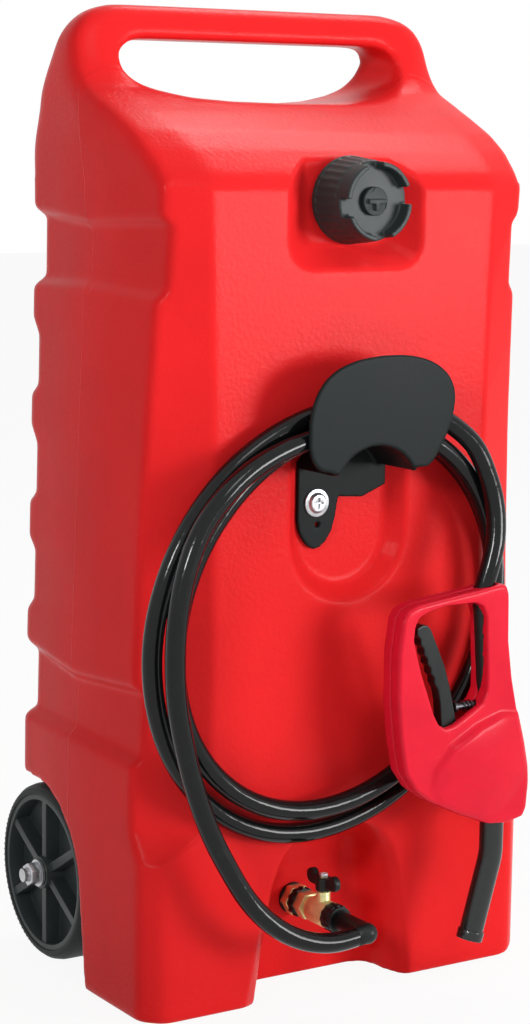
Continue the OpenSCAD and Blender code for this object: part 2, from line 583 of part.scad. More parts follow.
// return spring, drawn at its squeezed length against the shell
spring = [for (a = [0:30:1080]) [83 + 13 * a / 1080, noz_y + 4.7 * cos(a), plunger_z + 4.7 * sin(a)]];
module plunger_spring() {
  rings = [for (i = [0:len(spring) - 1])
    let (a = 30 * i, c = spring[i], o = [0, cos(a), sin(a)])
    [for (k = [0:5]) c + 0.55 * (cos(60 * k) * o + sin(60 * k) * [-1, 0, 0])]];
  color([0.7, 0.72, 0.75]) hang() skin(rings);
}
// bent spout and its end ring
bend = 16;
bend_r = 60;
function spout_path(x) = concat([[122, noz_y, 180 + x], [122, noz_y, 152], [122, noz_y, 128]],
  [for (a = [4:4:bend]) [122 - bend_r * (1 - cos(a)), noz_y, 128 - bend_r * sin(a)]],
  [[122 - bend_r * (1 - cos(bend)) - (73 + x) * sin(bend), noz_y, 128 - bend_r * sin(bend) - (73 + x) * cos(bend)]]);
module spout() {
  out = [-sin(bend), 0, -cos(bend)];
  color([0.05, 0.05, 0.055]) hang() difference() {
    skin(tube_rings(spout_path(0), spout_d / 2, 24, [0, 0, -1], out));
    skin(tube_rings(spout_path(1), spout_d / 2 - 2, 24, [0, 0, -1], out));
  }
}
module spout_ring() {
  color([0.07, 0.07, 0.07]) hang() translate([122 - bend_r, noz_y, 128]) rotate([0, bend, 0])
    translate([bend_r, 0, -73]) difference() {
      cylinder(h = 9, r = spout_d / 2 + 1.2);
      translate([0, 0, -1]) cylinder(h = 11, r = spout_d / 2);
    }
}

// axle, washers and nuts
module axle() {
  color([0.7, 0.71, 0.73]) place() xcyl(wheel_y, axle_z, -side - 10, side + 10, axle_d / 2);
}
module axle_washers() {
  color([0.74, 0.75, 0.77]) place() for (k = [0, 1]) mirror([k, 0, 0]) for (x = [notch_x, side - 7.4]) difference() {
    xcyl(wheel_y, axle_z, x, x + 2.2, axle_d / 2 + 6.5);
    xcyl(wheel_y, axle_z, x - 1, x + 4, axle_d / 2);
  }
}
module axle_nuts() {
  color([0.68, 0.69, 0.71]) place() for (k = [0, 1]) mirror([k, 0, 0]) difference() {
    translate([side - 5.2, wheel_y, axle_z]) rotate([0, 90, 0]) hex(axle_d + 6.3, 10);
    xcyl(wheel_y, axle_z, side - 8, side + 8, axle_d / 2);
  }
}
// moulded wheel: hub, web, ribs and rim
module wheel() {
  rim = wheel_r - 10;
  translate([0, wheel_y, axle_z]) rotate([0, 90, 0]) difference() {
    union() {
      translate([0, 0, notch_x + 2.8]) cylinder(h = side - 8 - notch_x - 2.8, r = axle_d / 2 + 9);
      translate([0, 0, wheel_in + wheel_w / 2 - 2]) cylinder(h = 4, r = rim);
      difference() {
        translate([0, 0, wheel_in + 1]) cylinder(h = wheel_w - 2, r = rim);
        translate([0, 0, wheel_in - 1]) cylinder(h = wheel_w + 4, r = rim - 5);
      }
      for (a = [0:60:300]) rotate(a) translate([10, -4, wheel_in + 3]) cube([rim - 12, 8, wheel_w - 6]);
    }
    translate([0, 0, notch_x - 40]) cylinder(h = 140, r = axle_d / 2 + 0.06);
  }
}
module tyre() {
  r0 = wheel_r - 10;
  w = wheel_w;
  translate([0, wheel_y, axle_z]) rotate([0, 90, 0]) translate([0, 0, wheel_in])
    rotate_extrude() polygon([[r0, 0], [r0 + 3, 0], [wheel_r - 4, 1.6], [wheel_r - 1.4, 5], [wheel_r, 11],
      [wheel_r, w - 11], [wheel_r - 1.4, w - 5], [wheel_r - 4, w - 1.6], [r0 + 3, w], [r0, w]]);
}
module wheel_left() {
  color([0.05, 0.05, 0.052]) place() mirror([1, 0, 0]) wheel();
}
module wheel_right() {
  color([0.05, 0.05, 0.052]) place() wheel();
}
module tyre_left() {
  color([0.035, 0.035, 0.037]) place() mirror([1, 0, 0]) tyre();
}
module tyre_right() {
  color([0.035, 0.035, 0.037]) place() tyre();
}

tank();
cap_shell();
cap_insert();
cap_gasket();
cap_hub();
hose_bracket();
bracket_screw();
bracket_insert();
outlet_seal();
outlet_fitting();
lock_ring();
valve_body();
valve_ball();
valve_seats();
valve_stem();
valve_handle();
handle_screw();
union_nut();
hose_elbow();
hose_tail();
hose_coil();
hose_lead();
nozzle_front();
nozzle_rear();
nozzle_screws();
feed_tube();
trigger();
trigger_pin();
plunger();
plunger_spring();
spout();
spout_ring();
axle();
axle_washers();
axle_nuts();
wheel_left();
wheel_right();
tyre_left();
tyre_right();
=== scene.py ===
"""Looks of a wheeled fuel transfer tank, dressed over its CAD frame. Metres, +Z up, the front looks along -Y."""

import math

import bmesh
import bpy
from mathutils import Matrix, Vector


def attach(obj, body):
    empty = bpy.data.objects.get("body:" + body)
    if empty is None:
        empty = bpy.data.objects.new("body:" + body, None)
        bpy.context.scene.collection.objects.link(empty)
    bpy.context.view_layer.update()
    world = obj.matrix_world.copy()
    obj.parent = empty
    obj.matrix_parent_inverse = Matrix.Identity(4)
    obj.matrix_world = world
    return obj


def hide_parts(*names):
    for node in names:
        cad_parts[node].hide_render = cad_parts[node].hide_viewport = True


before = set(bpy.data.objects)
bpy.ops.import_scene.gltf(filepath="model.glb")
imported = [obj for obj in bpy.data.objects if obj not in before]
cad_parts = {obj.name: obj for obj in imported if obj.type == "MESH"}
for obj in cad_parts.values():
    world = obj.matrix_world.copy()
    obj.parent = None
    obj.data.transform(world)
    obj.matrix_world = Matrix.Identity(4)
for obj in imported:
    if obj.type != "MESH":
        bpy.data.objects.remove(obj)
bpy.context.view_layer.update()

bl_info = {
    "name": "Fuel transfer tank",
    "version": (1, 0, 0),
    "blender": (4, 5, 0),
    "location": "View3D > Sidebar > Tank",
    "description": "Builds a wheeled fuel tank with its cap, valve, hose and nozzle",
    "category": "Object",
}

MM = 0.001
# the tank's front face and the front foot's upper edge in the shared frame, in millimetres
FRONT_Y = -110.0
BASE_H = 9.0
# the bracket, the hose and the nozzle hang a little left of the middle
HANG_X = -4.0
# where the nozzle's two shells meet, and the middle of its raised body
NOZZLE_Y = -62.0
NOZZLE_BODY = (96.0, 214.0)
# the wheels' axle, and the outer face of each tyre
AXLE_Y, AXLE_Z = 220.0, 75.0
TYRE_FACE_X = 196.9
# the camera's place
EYE = (-1245.5, -1798.5, 772.2)

# in metres: the tank's sides with their bands, its shoulder, and the cap's recess in that shoulder
SIDE_X = 0.172
BANDS_TOP = 0.77
SHOULDER_Z = 0.735
RECESS_HALF = 0.07
RECESS_TOP = 0.8
RECESS_DEPTH = 70.0 * MM

# the most triangles in the tank's skin
SKIN_TRIANGLES = 180000
FLOOR_HALF = 12.0
# how much of the floor's look is plain white, the rest being lit paint that keeps the shadow
FLOOR_WHITE = 0.92


def at(x, y, z):
    """A point given in millimetres from the tank's front face and foot, in the shared frame."""
    return Vector((x, y + FRONT_Y, z + BASE_H)) * MM


# Materials


class Val:
    """A shader socket that takes part in plain arithmetic."""

    def __init__(self, kit, socket):
        self.kit = kit
        self.socket = socket

    def __add__(self, other):
        return self.kit.math("ADD", self, other)

    def __radd__(self, other):
        return self.kit.math("ADD", other, self)

    def __sub__(self, other):
        return self.kit.math("SUBTRACT", self, other)

    def __rsub__(self, other):
        return self.kit.math("SUBTRACT", other, self)

    def __mul__(self, other):
        return self.kit.math("MULTIPLY", self, other)

    def __rmul__(self, other):
        return self.kit.math("MULTIPLY", other, self)

    def __abs__(self):
        return self.kit.math("ABSOLUTE", self)


class Kit:
    """Adds nodes to one shader tree and wires them up."""

    def __init__(self, tree):
        self.tree = tree

    def feed(self, socket, value):
        if isinstance(value, Val):
            self.tree.links.new(value.socket, socket)
        else:
            socket.default_value = value

    def node(self, kind, inputs=None, out=0, **settings):
        made = self.tree.nodes.new(kind)
        for key, value in settings.items():
            setattr(made, key, value)
        for key, value in (inputs or {}).items():
            self.feed(made.inputs[key], value)
        return Val(self, made.outputs[out])

    def math(self, operation, a, b=0.0):
        return self.node("ShaderNodeMath", {0: a, 1: b}, operation=operation)

    def fade(self, value, low, high, start, end):
        """A straight ramp from start to end, held outside low and high."""
        return self.node("ShaderNodeMapRange", {"Value": value, "From Min": low, "From Max": high, "To Min": start,
                                                "To Max": end})

    def seen_directly(self):
        """1 for what the camera sees itself, in a reflection or through something clear."""
        path = self.tree.nodes.new("ShaderNodeLightPath")
        camera, glossy, clear = (Val(self, path.outputs["Is %s Ray" % ray])
                                 for ray in ("Camera", "Glossy", "Transmission"))
        return self.math("MINIMUM", camera + glossy + clear, 1.0)


class Coat(Kit):
    """One material, built from object coordinates."""

    def __init__(self, name):
        self.mat = bpy.data.materials.new(name)
        self.mat.use_nodes = True
        super().__init__(self.mat.node_tree)
        self.shader = self.tree.nodes["Principled BSDF"]
        self.pos = self.node("ShaderNodeTexCoord", out="Object")

    def noise(self, scale, detail=3.0, rough=0.55, stretch=(1, 1, 1)):
        where = self.node("ShaderNodeMapping", {"Vector": self.pos, "Scale": stretch})
        return self.node("ShaderNodeTexNoise", {"Vector": where, "Scale": scale, "Detail": detail, "Roughness": rough})

    def axis(self, name):
        return self.node("ShaderNodeSeparateXYZ", {"Vector": self.pos}, out=name)

    def step(self, value, low, high):
        """0 below low, 1 above high, smooth between."""
        return self.node("ShaderNodeMapRange", {"Value": value, "From Min": low, "From Max": high},
                         interpolation_type="SMOOTHSTEP", clamp=True)

    def blend(self, factor, a, b):
        made = self.tree.nodes.new("ShaderNodeMix")
        made.data_type = "RGBA"
        self.feed(made.inputs["Factor"], factor)
        for key, value in (("A", a), ("B", b)):
            socket = [s for s in made.inputs if s.name == key and s.type == "RGBA"][0]
            self.feed(socket, value)
        return Val(self, [s for s in made.outputs if s.type == "RGBA"][0])

    def bump(self, height, depth, normal=None):
        inputs = {"Height": height, "Strength": 1.0, "Distance": depth}
        if normal is not None:
            inputs["Normal"] = normal
        return self.node("ShaderNodeBump", inputs)

    def finish(self, **inputs):
        for key, value in inputs.items():
            self.feed(self.shader.inputs[key.replace("_", " ")], value)
        return self.mat


def rgba(color, gain=1.0):
    return (color[0] * gain, color[1] * gain, color[2] * gain, 1.0)


def tank_plastic(name, color, rough):
    """Moulded polyethylene: orange peel, slow cloudiness, a parting line and scuffs near the floor."""
    k = Coat(name)
    peel = k.noise(260, 3, 0.5)
    fine = k.noise(1400, 2, 0.5)
    cloud = k.noise(7, 4, 0.6)
    line = 1.0 - k.step(abs(k.axis("Y") - 0.04), 0.0004, 0.0016)
    low = 1.0 - k.step(k.axis("Z"), 0.01, 0.12)
    scrape = k.step(k.noise(60, 5, 0.75, (1, 1, 6)), 0.6, 0.72) * low
    tone = k.blend(k.step(cloud, 0.3, 0.7), rgba(color, 0.94), rgba(color, 1.05))
    tone = k.blend(scrape * 0.35, tone, rgba((color[0] * 0.9, color[1] + 0.05, color[2] + 0.05)))
    coarse = k.bump(peel, 0.00028)
    height = k.bump(fine * 0.3 + line * 1.2, 0.00018, coarse)
    return k.finish(Base_Color=tone, Roughness=rough + (cloud - 0.5) * 0.12 + scrape * 0.2, Normal=height,
                    Specular_IOR_Level=0.045)


def moulded(name, color, rough, grain=700.0, depth=0.00008, cloud=0.08, shine=0.25):
    """Small injection-moulded plastic with a fine spark texture and faint handling marks."""
    k = Coat(name)
    spark = k.noise(grain, 3, 0.6)
    slow = k.noise(28, 4, 0.6)
    mark = k.step(k.noise(120, 4, 0.7, (1, 5, 1)), 0.62, 0.74)
    tone = k.blend(k.step(slow, 0.3, 0.7), rgba(color, 1.0 - cloud), rgba(color, 1.0 + cloud))
    tone = k.blend(mark * 0.12, tone, rgba([c * 0.9 + 0.03 for c in color]))
    return k.finish(Base_Color=tone, Roughness=rough + (slow - 0.5) * 0.12 + mark * 0.1, Normal=k.bump(spark, depth),
                    Specular_IOR_Level=shine)


def rubber(name, color, rough, depth=0.0001):
    """Dull rubber with fine pores and a little dust."""
    k = Coat(name)
    pore = k.noise(900, 4, 0.65)
    dust = k.step(k.noise(35, 5, 0.7), 0.5, 0.75)
    tone = k.blend(dust * 0.35, rgba(color), rgba([c * 1.6 + 0.012 for c in color]))
    return k.finish(Base_Color=tone, Roughness=rough + dust * 0.12, Normal=k.bump(pore, depth),
                    Specular_IOR_Level=0.22)


def hose_skin(name, color):
    """Glossy extruded hose with a slow waviness and a light haze."""
    k = Coat(name)
    wave = k.noise(42, 3, 0.5)
    haze = k.step(k.noise(90, 5, 0.7), 0.5, 0.8)
    tone = k.blend(haze * 0.4, rgba(color), rgba([c * 1.8 + 0.006 for c in color]))
    return k.finish(Base_Color=tone, Roughness=0.12 + haze * 0.08, Normal=k.bump(wave, 0.0006),
                    Specular_IOR_Level=0.25)


def metal(name, color, rough, axis="Y", pitch=2600.0, depth=0.00003, shiny=1.0):
    """Turned or plated metal: faint rings along one axis, and uneven tarnish."""
    k = Coat(name)
    ring = k.math("SINE", k.axis(axis) * pitch)
    tarnish = k.noise(110, 4, 0.65)
    fine = k.noise(1500, 2, 0.5)
    tone = k.blend(k.step(tarnish, 0.35, 0.7), rgba(color, 0.82), rgba(color, 1.05))
    height = k.bump(ring * 0.5 + fine * 0.6, depth)
    return k.finish(Base_Color=tone, Metallic=shiny, Roughness=rough + (tarnish - 0.5) * 0.25, Normal=height)


def floor_paint(name, color):
    """Pale floor that meets the white background, with a faint shadow left on it."""
    k = Coat(name)
    slow = k.noise(3, 3, 0.5)
    paint_mat = k.finish(Base_Color=k.blend(slow, rgba(color, 0.985), rgba(color, 1.0)), Roughness=0.85,
                         Specular_IOR_Level=0.1)
    glow = k.tree.nodes.new("ShaderNodeEmission")
    mixed = k.tree.nodes.new("ShaderNodeMixShader")
    k.feed(mixed.inputs[0], k.seen_directly() * FLOOR_WHITE)
    k.tree.links.new(k.shader.outputs[0], mixed.inputs[1])
    k.tree.links.new(glow.outputs[0], mixed.inputs[2])
    k.tree.links.new(mixed.outputs[0], k.tree.nodes["Material Output"].inputs["Surface"])
    return paint_mat


# Mesh tools


def fresh(name, mesh, mat, body, nodes=()):
    """A new piece that rides on a body, wears a material and may stand for CAD nodes."""
    obj = bpy.data.objects.new(name, mesh)
    bpy.context.scene.collection.objects.link(obj)
    mesh.materials.clear()
    mesh.materials.append(mat)
    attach(obj, body)
    if nodes:
        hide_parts(*nodes)
    return obj


def evaluated(mesh, build):
    """The mesh after the modifiers that build() adds to a passing object."""
    obj = bpy.data.objects.new("passing", mesh)
    bpy.context.scene.collection.objects.link(obj)
    build(obj)
    graph = bpy.context.evaluated_depsgraph_get()
    out = bpy.data.meshes.new_from_object(obj.evaluated_get(graph))
    bpy.data.objects.remove(obj)
    bpy.data.meshes.remove(mesh)
    return out


def smooth(mesh, angle=None):
    """Smooth shading, broken where faces meet at more than an angle."""
    mesh.polygons.foreach_set("use_smooth", [True] * len(mesh.polygons))
    if angle is not None:
        mesh.set_sharp_from_angle(angle=math.radians(angle))
    mesh.update()
    return mesh


def node_copy(*nodes):
    """One welded mesh from copies of CAD nodes."""
    bm = bmesh.new()
    for node in nodes:
        bm.from_mesh(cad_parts[node].data)
    bmesh.ops.remove_doubles(bm, verts=bm.verts, dist=0.00001)
    mesh = bpy.data.meshes.new(nodes[0] + "_copy")
    bm.to_mesh(mesh)
    bm.free()
    return mesh


def bevelled(node, width, segments=2, angle=32):
    """A CAD node's mesh with its sharp edges broken."""
    mesh = node_copy(node)
    bm = bmesh.new()
    bm.from_mesh(mesh)
    bmesh.ops.dissolve_limit(bm, angle_limit=math.radians(0.5), verts=bm.verts, edges=bm.edges)
    bm.to_mesh(mesh)
    bm.free()

    def build(obj):
        mod = obj.modifiers.new("edge", "BEVEL")
        mod.width = width
        mod.segments = segments
        mod.limit_method = "ANGLE"
        mod.angle_limit = math.radians(angle)
        mod.use_clamp_overlap = True
        obj.modifiers.new("tri", "TRIANGULATE")

    return smooth(evaluated(mesh, build), 40)


def relaxed(mesh, rounds, where=None):
    """Laplacian smoothing that rounds edges a little, all over or where a test of the point holds."""
    bm = bmesh.new()
    bm.from_mesh(mesh)
    verts = [v for v in bm.verts if where is None or where(v.co)]
    for _ in range(rounds):
        bmesh.ops.smooth_vert(bm, verts=verts, factor=0.5, use_axis_x=True, use_axis_y=True, use_axis_z=True)
    bm.to_mesh(mesh)
    bm.free()
    return mesh


def top_island(mesh):
    """Keep the connected piece that reaches highest."""
    bm = bmesh.new()
    bm.from_mesh(mesh)
    start = max(bm.verts, key=lambda v: v.co.z)
    seen = {start}
    todo = [start]
    while todo:
        for edge in todo.pop().link_edges:
            for vert in edge.verts:
                if vert not in seen:
                    seen.add(vert)
                    todo.append(vert)
    bmesh.ops.delete(bm, geom=[v for v in bm.verts if v not in seen], context="VERTS")
    bm.to_mesh(mesh)
    bm.free()
    return mesh


def remeshed(mesh, voxel, rounds, island=False):
    """Voxel remesh, then smoothing: the soft edges of a moulding."""

    def build(obj):
        mod = obj.modifiers.new("remesh", "REMESH")
        mod.mode = "VOXEL"
        mod.voxel_size = voxel
        mod.adaptivity = 0.0

    out = evaluated(mesh, build)
    if island:
        out = top_island(out)
    return smooth(relaxed(out, rounds))


def thinned(mesh, most):
    """Collapse a dense mesh to a triangle count."""
    ratio = most / (2 * len(mesh.polygons))

    def build(obj):
        obj.modifiers.new("tri", "TRIANGULATE")
        obj.modifiers.new("thin", "DECIMATE").ratio = min(1.0, ratio)

    return smooth(evaluated(mesh, build))


def joined(mesh, *others):
    """One mesh out of several."""
    bm = bmesh.new()
    bm.from_mesh(mesh)
    for other in others:
        bm.from_mesh(other)
        bpy.data.meshes.remove(other)
    bm.to_mesh(mesh)
    bm.free()
    return mesh


def eased_crease(mesh, line, reach, depth):
    """Turn the crease down each side of the tank into a gentle curve."""
    for vert in mesh.vertices:
        near = 1.0 - abs(vert.co.y - line) / reach
        if near > 0.0 and abs(vert.co.x) > SIDE_X and vert.co.z < BANDS_TOP:
            vert.co.x -= math.copysign(depth * near * near, vert.co.x)
    return mesh


def crowned(mesh, centre, reach, flat, fall):
    """Let the nozzle's raised body fall away from its middle; flat is what stays level each side of the mid plane."""
    for vert in mesh.vertices:
        depth = vert.co.y - centre.y
        proud = abs(depth) - flat
        if proud > 0.0:
            away = math.hypot(vert.co.x - centre.x, vert.co.z - centre.z) / reach
            vert.co.y = centre.y + math.copysign(flat + proud * (1.0 - fall * min(1.0, away * away)), depth)
    return mesh


def plug(radius, start, end):
    """A closed cylinder between two points."""
    bm = bmesh.new()
    turn = (end - start).to_track_quat("Z", "Y").to_matrix().to_4x4()
    where = Matrix.Translation((start + end) / 2) @ turn
    bmesh.ops.create_cone(bm, cap_ends=True, segments=32, radius1=radius, radius2=radius, depth=(end - start).length,
                          matrix=where)
    mesh = bpy.data.meshes.new("plug")
    bm.to_mesh(mesh)
    bm.free()
    return mesh


def paint(mat, *nodes):
    """Dress CAD nodes that stay as they are."""
    for node in nodes:
        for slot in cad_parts[node].material_slots:
            slot.link = "OBJECT"
            slot.material = mat


class Graph:
    """A small Geometry Nodes tree with named sizes, run once and turned into a plain mesh."""

    def __init__(self, name, **sizes):
        self.tree = bpy.data.node_groups.new(name, "GeometryNodeTree")
        self.values = {}
        for key, (kind, value) in sizes.items():
            socket = self.tree.interface.new_socket(key, in_out="INPUT", socket_type="NodeSocket" + kind)
            self.values[socket.identifier] = value
        self.tree.interface.new_socket("Geometry", in_out="OUTPUT", socket_type="NodeSocketGeometry")
        self.size = self.tree.nodes.new("NodeGroupInput").outputs
        self.end = self.tree.nodes.new("NodeGroupOutput")

    def node(self, kind, inputs=None, **settings):
        made = self.tree.nodes.new(kind)
        for key, value in settings.items():
            setattr(made, key, value)
        for key, value in (inputs or {}).items():
            if isinstance(value, bpy.types.NodeSocket):
                self.tree.links.new(value, made.inputs[key])
            else:
                made.inputs[key].default_value = value
        return made.outputs[0]

    def mesh(self, geometry, mat):
        real = self.node("GeometryNodeRealizeInstances", {"Geometry": geometry})
        dressed = self.node("GeometryNodeSetMaterial", {"Geometry": real, "Material": mat})
        self.tree.links.new(dressed, self.end.inputs[0])

        def build(obj):
            grow = obj.modifiers.new("nodes", "NODES")
            grow.node_group = self.tree
            for socket, value in self.values.items():
                grow[socket] = value

        return evaluated(bpy.data.meshes.new("grown"), build)


def ring_of_bars(name, count, radius, size, mat):
    """Bars set round the Z axis at one radius; size is radial, tangential and along the axis."""
    g = Graph(name, Count=("Int", count), Radius=("Float", radius), Bar=("Vector", size))
    circle = g.node("GeometryNodeMeshCircle", {"Vertices": g.size["Count"], "Radius": g.size["Radius"]})
    bar = g.node("GeometryNodeMeshCube", {"Size": g.size["Bar"]})
    step = g.node("ShaderNodeMath", {0: 2 * math.pi, 1: g.size["Count"]}, operation="DIVIDE")
    turn = g.node("ShaderNodeMath", {0: g.node("GeometryNodeInputIndex"), 1: step}, operation="MULTIPLY")
    spin = g.node("ShaderNodeCombineXYZ", {"Z": turn})
    put = g.node("GeometryNodeInstanceOnPoints", {"Points": circle, "Instance": bar, "Rotation": spin})
    return g.mesh(put, mat)


def moved(mesh, matrix):
    mesh.transform(matrix)
    return mesh


# Settings


class TankSettings(bpy.types.PropertyGroup):
    """Colours and mesh sizes of the whole object."""

    red: bpy.props.FloatVectorProperty(
        name="Tank red", description="Colour of the moulded tank", subtype="COLOR", size=3,
        default=(0.76, 0.018, 0.02))
    nozzle_red: bpy.props.FloatVectorProperty(
        name="Nozzle red", description="Colour of the nozzle's shells", subtype="COLOR", size=3,
        default=(0.72, 0.012, 0.034))
    black: bpy.props.FloatVectorProperty(
        name="Black", description="Colour of the black mouldings", subtype="COLOR", size=3,
        default=(0.010, 0.013, 0.013))
    brass: bpy.props.FloatVectorProperty(
        name="Brass", description="Colour of the drain fittings", subtype="COLOR", size=3,
        default=(0.80, 0.76, 0.36))
    steel: bpy.props.FloatVectorProperty(
        name="Steel", description="Colour of screws, nuts and axle", subtype="COLOR", size=3,
        default=(0.56, 0.57, 0.59))
    tank_voxel: bpy.props.FloatProperty(
        name="Tank voxel", description="Mesh size of the tank's skin", unit="LENGTH", default=0.0024)
    tank_rounds: bpy.props.IntProperty(
        name="Tank smoothing", description="Rounds of smoothing over the tank's edges", default=3)
    shoulder_rounds: bpy.props.IntProperty(
        name="Shoulder smoothing", description="Further rounds over the handle and shoulder", default=26)
    small_voxel: bpy.props.FloatProperty(
        name="Small voxel", description="Mesh size of the nozzle's shells", unit="LENGTH", default=0.0011)
    small_rounds: bpy.props.IntProperty(
        name="Small smoothing", description="Rounds of smoothing over the nozzle's edges", default=9)
    edge: bpy.props.FloatProperty(
        name="Broken edge", description="Width of the bevel on turned and moulded pieces", unit="LENGTH",
        default=0.0006)
    hose_d: bpy.props.FloatProperty(
        name="Hose diameter", description="Outside diameter of the hose", unit="LENGTH", default=0.018)


class Look:
    """Materials, made once from the settings."""

    made = {}

    @classmethod
    def get(cls, name):
        if name not in cls.made:
            s = bpy.context.scene.tank_settings
            black = tuple(s.black)
            grey = [c * 2.2 for c in black]
            recipes = {
                "tank": lambda: tank_plastic("tank_red", tuple(s.red), 0.25),
                "nozzle": lambda: moulded("nozzle_red", tuple(s.nozzle_red), 0.24, 900, 0.00005, 0.05, 0.12),
                "cap": lambda: moulded("cap_black", grey, 0.4, 800, 0.00006, 0.08, 0.2),
                "hub": lambda: moulded("hub_black", grey, 0.5, 500, 0.0001),
                "bracket": lambda: moulded("bracket_black", black, 0.4, 500, 0.00007, shine=0.07),
                "fitting": lambda: moulded("fitting_black", black, 0.4, 700, 0.00006),
                "trigger": lambda: moulded("trigger_black", black, 0.3, 700, 0.00006),
                "spout": lambda: moulded("spout_black", black, 0.18, 700, 0.00003, 0.08, 0.5),
                "wheel": lambda: moulded("wheel_black", grey, 0.45, 500, 0.00008, 0.08, 0.35),
                "seat": lambda: moulded("seat_white", (0.8, 0.8, 0.76), 0.4, 900, 0.00003, 0.03),
                "hose": lambda: hose_skin("hose_black", (0.005, 0.0055, 0.006)),
                "seal": lambda: rubber("seal_rubber", (0.014, 0.014, 0.014), 0.62),
                "tyre": lambda: rubber("tyre_black", (0.018, 0.021, 0.021), 0.6, 0.00016),
                "brass": lambda: metal("brass", tuple(s.brass), 0.36, shiny=0.55),
                "steel": lambda: metal("steel", tuple(s.steel), 0.32, "X", 1800.0, shiny=0.8),
                # painted shade: near-black steel for the plunger and spring, standing in for the shadow inside the
                # nozzle
                "painted_shade": lambda: metal("painted_shade_steel", (0.09, 0.09, 0.1), 0.4, "X", 1800.0),
                "chrome": lambda: metal("ball_chrome", (0.8, 0.8, 0.82), 0.12, "Y", 3000.0, 0.00001),
                "floor": lambda: floor_paint("floor_pale", (0.93, 0.93, 0.93)),
            }
            cls.made[name] = recipes[name]()
        return cls.made[name]


# Stage


class TANK_OT_stage(bpy.types.Operator):
    """Camera at the photograph's angle, a pale floor and soft studio light"""

    bl_idname = "tank.stage"
    bl_label = "Stage"

    yaw: bpy.props.FloatProperty(name="Yaw", description="Degrees the camera looks to the right", default=32.655)
    pitch: bpy.props.FloatProperty(name="Pitch", description="Degrees the camera looks down", default=8.773)
    roll: bpy.props.FloatProperty(name="Roll", description="Degrees the camera leans", default=0.765)
    lens: bpy.props.FloatProperty(name="Lens", description="Focal length in millimetres", default=87.1)

    def execute(self, context):
        scene = context.scene
        cam = bpy.data.cameras.new("camera")
        cam.lens = self.lens
        cam.sensor_width = 36.0
        cam.clip_end = 50.0
        eye = bpy.data.objects.new("camera", cam)
        scene.collection.objects.link(eye)
        yaw, pitch, roll = (math.radians(v) for v in (self.yaw, self.pitch, self.roll))
        right = Vector((math.cos(yaw), -math.sin(yaw), 0))
        ahead = Vector((math.sin(yaw) * math.cos(pitch), math.cos(yaw) * math.cos(pitch), -math.sin(pitch)))
        above = right.cross(ahead)
        side = right * math.cos(roll) + above * math.sin(roll)
        top = above * math.cos(roll) - right * math.sin(roll)
        turn = Matrix((side, top, -ahead)).transposed().to_4x4()
        eye.matrix_world = Matrix.Translation(at(*EYE)) @ turn
        scene.camera = eye

        bm = bmesh.new()
        bmesh.ops.create_grid(bm, x_segments=2, y_segments=2, size=FLOOR_HALF)
        mesh = bpy.data.meshes.new("floor")
        bm.to_mesh(mesh)
        bm.free()
        mesh.materials.append(Look.get("floor"))
        floor = bpy.data.objects.new("floor", mesh)
        scene.collection.objects.link(floor)

        self.sky(scene)
        self.lamp("key", (1.65, -2.6, 0.75), (0, -0.1, 0.86), (1.2, 0.9), 8.5, 60)
        self.lamp("front", (-0.4, -2.2, 2.5), (0, -0.1, 0.7), (0.7, 0.7), 10)
        self.lamp("top", (1.32, 0.6, 2.7), (0, 0, 0.78), (1.6, 0.6), 28)
        self.lamp("side", (-2.4, -1.5, 1.5), (0, 0, 0.8), (0.45, 0.45), 4.5, 70)
        scene.view_settings.view_transform = "Standard"
        return {"FINISHED"}

    def sky(self, scene):
        """White studio whose light is dimmer from the left and a little brighter from the front."""
        world = bpy.data.worlds.new("studio")
        world.use_nodes = True
        kit = Kit(world.node_tree)
        way = kit.node("ShaderNodeTexCoord", out="Generated")
        across, along = (kit.node("ShaderNodeSeparateXYZ", {"Vector": way}, out=axis) for axis in "XY")
        light = kit.fade(across, -0.5, 0.35, 0.08, 0.55) + kit.fade(along, 0.1, -0.8, 0.0, 0.1)
        seen = kit.seen_directly()
        ground = world.node_tree.nodes["Background"]
        ground.inputs["Color"].default_value = (1.0, 1.0, 1.0, 1.0)
        kit.feed(ground.inputs["Strength"], light * (1.0 - seen) + seen)
        scene.world = world

    def lamp(self, name, where, aim, size, power, spread=180):
        light = bpy.data.lights.new(name, "AREA")
        light.shape = "RECTANGLE"
        light.size, light.size_y = size
        light.spread = math.radians(spread)
        light.energy = power
        obj = bpy.data.objects.new(name, light)
        bpy.context.scene.collection.objects.link(obj)
        way = Vector(aim) - Vector(where)
        obj.matrix_world = Matrix.Translation(Vector(where)) @ way.to_track_quat("-Z", "Y").to_matrix().to_4x4()


# Pieces


class TANK_OT_body(bpy.types.Operator):
    """Moulded tank with soft edges, from the CAD tank without its hollow"""

    bl_idname = "tank.body"
    bl_label = "Tank"

    def execute(self, context):
        s = context.scene.tank_settings
        neck = plug(0.0231, at(0, 12, 712), at(0, 44, 712))
        outlet = plug(0.0091, at(-19, 61, 66), at(-19, 84, 66))
        mesh = joined(node_copy("tank"), neck, outlet)
        mesh = eased_crease(remeshed(mesh, s.tank_voxel, s.tank_rounds, island=True), at(0, 150, 0).y, 0.06, 0.0014)
        mesh = thinned(relaxed(mesh, s.shoulder_rounds, self.on_shoulder), SKIN_TRIANGLES)
        fresh("tank_skin", mesh, Look.get("tank"), "base", ["tank"])
        return {"FINISHED"}

    def on_shoulder(self, point):
        """The handle and the rounded shoulder under it, without the cap's recess."""
        deep = point.y - FRONT_Y * MM
        recess = abs(point.x) < RECESS_HALF and point.z < RECESS_TOP and deep < RECESS_DEPTH
        return point.z > SHOULDER_Z and not recess


